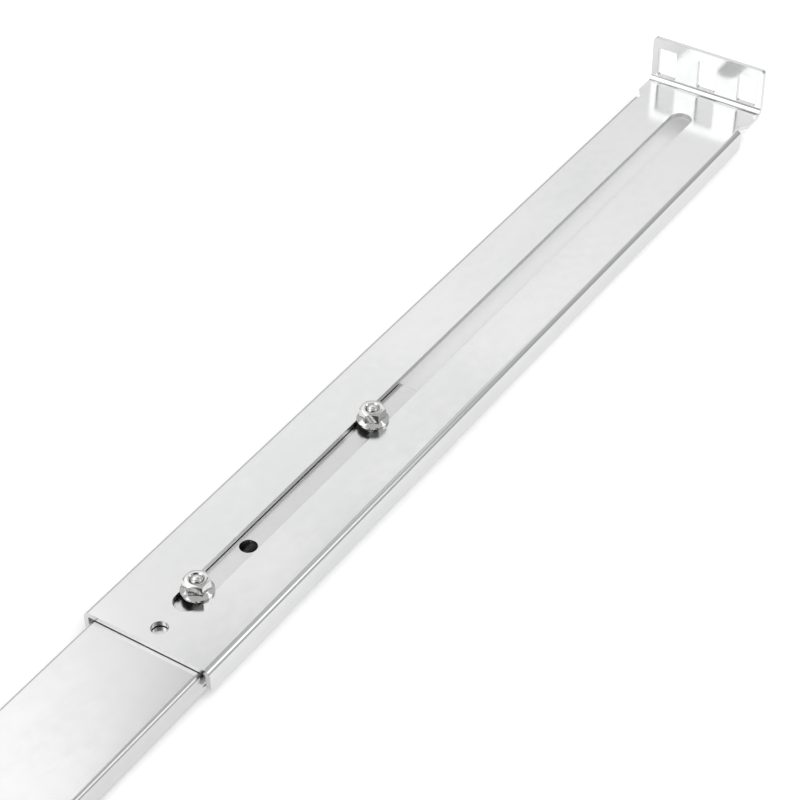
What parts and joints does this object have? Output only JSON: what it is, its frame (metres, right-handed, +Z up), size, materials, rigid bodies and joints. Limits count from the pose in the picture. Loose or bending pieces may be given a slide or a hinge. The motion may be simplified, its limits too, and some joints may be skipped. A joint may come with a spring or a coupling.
{
  "type": "sliding server rail pair",
  "caption": "Pair of thin three-section ball-bearing server slides, each with a fixed front bracket and a slotted, adjustable rear bracket whose ears bolt to rack posts.",
  "frame": {"origin": "middle of the pair's bounding box, on the surface that the closed rails lie on", "axes": "+X along the rails towards the rear posts, +Y towards the left rail, +Z up, away from the chassis side"},
  "size_m": [0.7078, 0.2638, 0.0289],
  "materials": {
    "bracket_steel": "bright zinc-plated sheet steel, smooth and glossy",
    "slide_steel": "bright zinc-plated roll-formed steel",
    "fastener_steel": "bright zinc-plated fasteners",
    "retainer_steel": "plain stamped strip",
    "bearing_steel": "polished balls",
    "black_nylon": "moulded nylon",
    "blue_nylon": "moulded nylon"
  },
  "bodies": {
    "fixed_members": {"left_outer_member": "slide_steel", "left_weld_studs": "fastener_steel", "left_flange_nuts": "fastener_steel", "left_front_bracket": "bracket_steel", "left_rear_bumper": "black_nylon", "right_outer_member": "slide_steel", "right_weld_studs": "fastener_steel", "right_flange_nuts": "fastener_steel", "right_front_bracket": "bracket_steel", "right_rear_bumper": "black_nylon"},
    "left_adjustable_bracket": {"left_rear_bracket": "bracket_steel"},
    "left_outer_cage": {"left_outer_ball_retainer": "retainer_steel", "left_outer_balls": "bearing_steel"},
    "left_middle": {"left_middle_member": "slide_steel", "left_middle_bumper": "black_nylon"},
    "left_inner_cage": {"left_inner_ball_retainer": "retainer_steel", "left_inner_balls": "bearing_steel"},
    "left_inner": {"left_inner_member": "slide_steel", "left_lever_rivet": "fastener_steel"},
    "left_lever": {"left_release_lever": "blue_nylon"},
    "right_adjustable_bracket": {"right_rear_bracket": "bracket_steel"},
    "right_outer_cage": {"right_outer_ball_retainer": "retainer_steel", "right_outer_balls": "bearing_steel"},
    "right_middle": {"right_middle_member": "slide_steel", "right_middle_bumper": "black_nylon"},
    "right_inner_cage": {"right_inner_ball_retainer": "retainer_steel", "right_inner_balls": "bearing_steel"},
    "right_inner": {"right_inner_member": "slide_steel", "right_lever_rivet": "fastener_steel"},
    "right_lever": {"right_release_lever": "blue_nylon"}
  },
  "joints": [
    {"name": "left_bracket_adjustment", "type": "slide", "parent": "fixed_members", "child": "left_adjustable_bracket", "axis": [1, 0, 0], "range_m": [-0.196, 0.0065]},
    {"name": "left_outer_cage_roll", "type": "slide", "parent": "fixed_members", "child": "left_outer_cage", "axis": [1, 0, 0], "range_m": [-0.127, 0]},
    {"name": "left_middle_slide", "type": "slide", "parent": "fixed_members", "child": "left_middle", "axis": [1, 0, 0], "range_m": [-0.254, 0]},
    {"name": "left_inner_cage_roll", "type": "slide", "parent": "left_middle", "child": "left_inner_cage", "axis": [1, 0, 0], "range_m": [-0.127, 0]},
    {"name": "left_inner_slide", "type": "slide", "parent": "left_middle", "child": "left_inner", "axis": [1, 0, 0], "range_m": [-0.254, 0]},
    {"name": "left_lever_release", "type": "hinge", "parent": "left_inner", "child": "left_lever", "pos_m": [-0.1144, 0.11, 0.0013], "axis": [0, 0, -1], "range_deg": [0, 7], "stiffness_Nm_per_rad": 0.02},
    {"name": "right_bracket_adjustment", "type": "slide", "parent": "fixed_members", "child": "right_adjustable_bracket", "axis": [1, 0, 0], "range_m": [-0.196, 0.0065]},
    {"name": "right_outer_cage_roll", "type": "slide", "parent": "fixed_members", "child": "right_outer_cage", "axis": [1, 0, 0], "range_m": [-0.127, 0]},
    {"name": "right_middle_slide", "type": "slide", "parent": "fixed_members", "child": "right_middle", "axis": [1, 0, 0], "range_m": [-0.254, 0]},
    {"name": "right_inner_cage_roll", "type": "slide", "parent": "right_middle", "child": "right_inner_cage", "axis": [1, 0, 0], "range_m": [-0.127, 0]},
    {"name": "right_inner_slide", "type": "slide", "parent": "right_middle", "child": "right_inner", "axis": [1, 0, 0], "range_m": [-0.254, 0]},
    {"name": "right_lever_release", "type": "hinge", "parent": "right_inner", "child": "right_lever", "pos_m": [-0.1144, -0.11, 0.0013], "axis": [0, 0, 1], "range_deg": [0, 7], "stiffness_Nm_per_rad": 0.02}
  ],
  "couplings": [
    {"joint": "left_outer_cage_roll", "follows": "left_middle_slide", "ratio": 0.5},
    {"joint": "left_inner_cage_roll", "follows": "left_inner_slide", "ratio": 0.5},
    {"joint": "right_outer_cage_roll", "follows": "right_middle_slide", "ratio": 0.5},
    {"joint": "right_inner_cage_roll", "follows": "right_inner_slide", "ratio": 0.5}
  ]
}
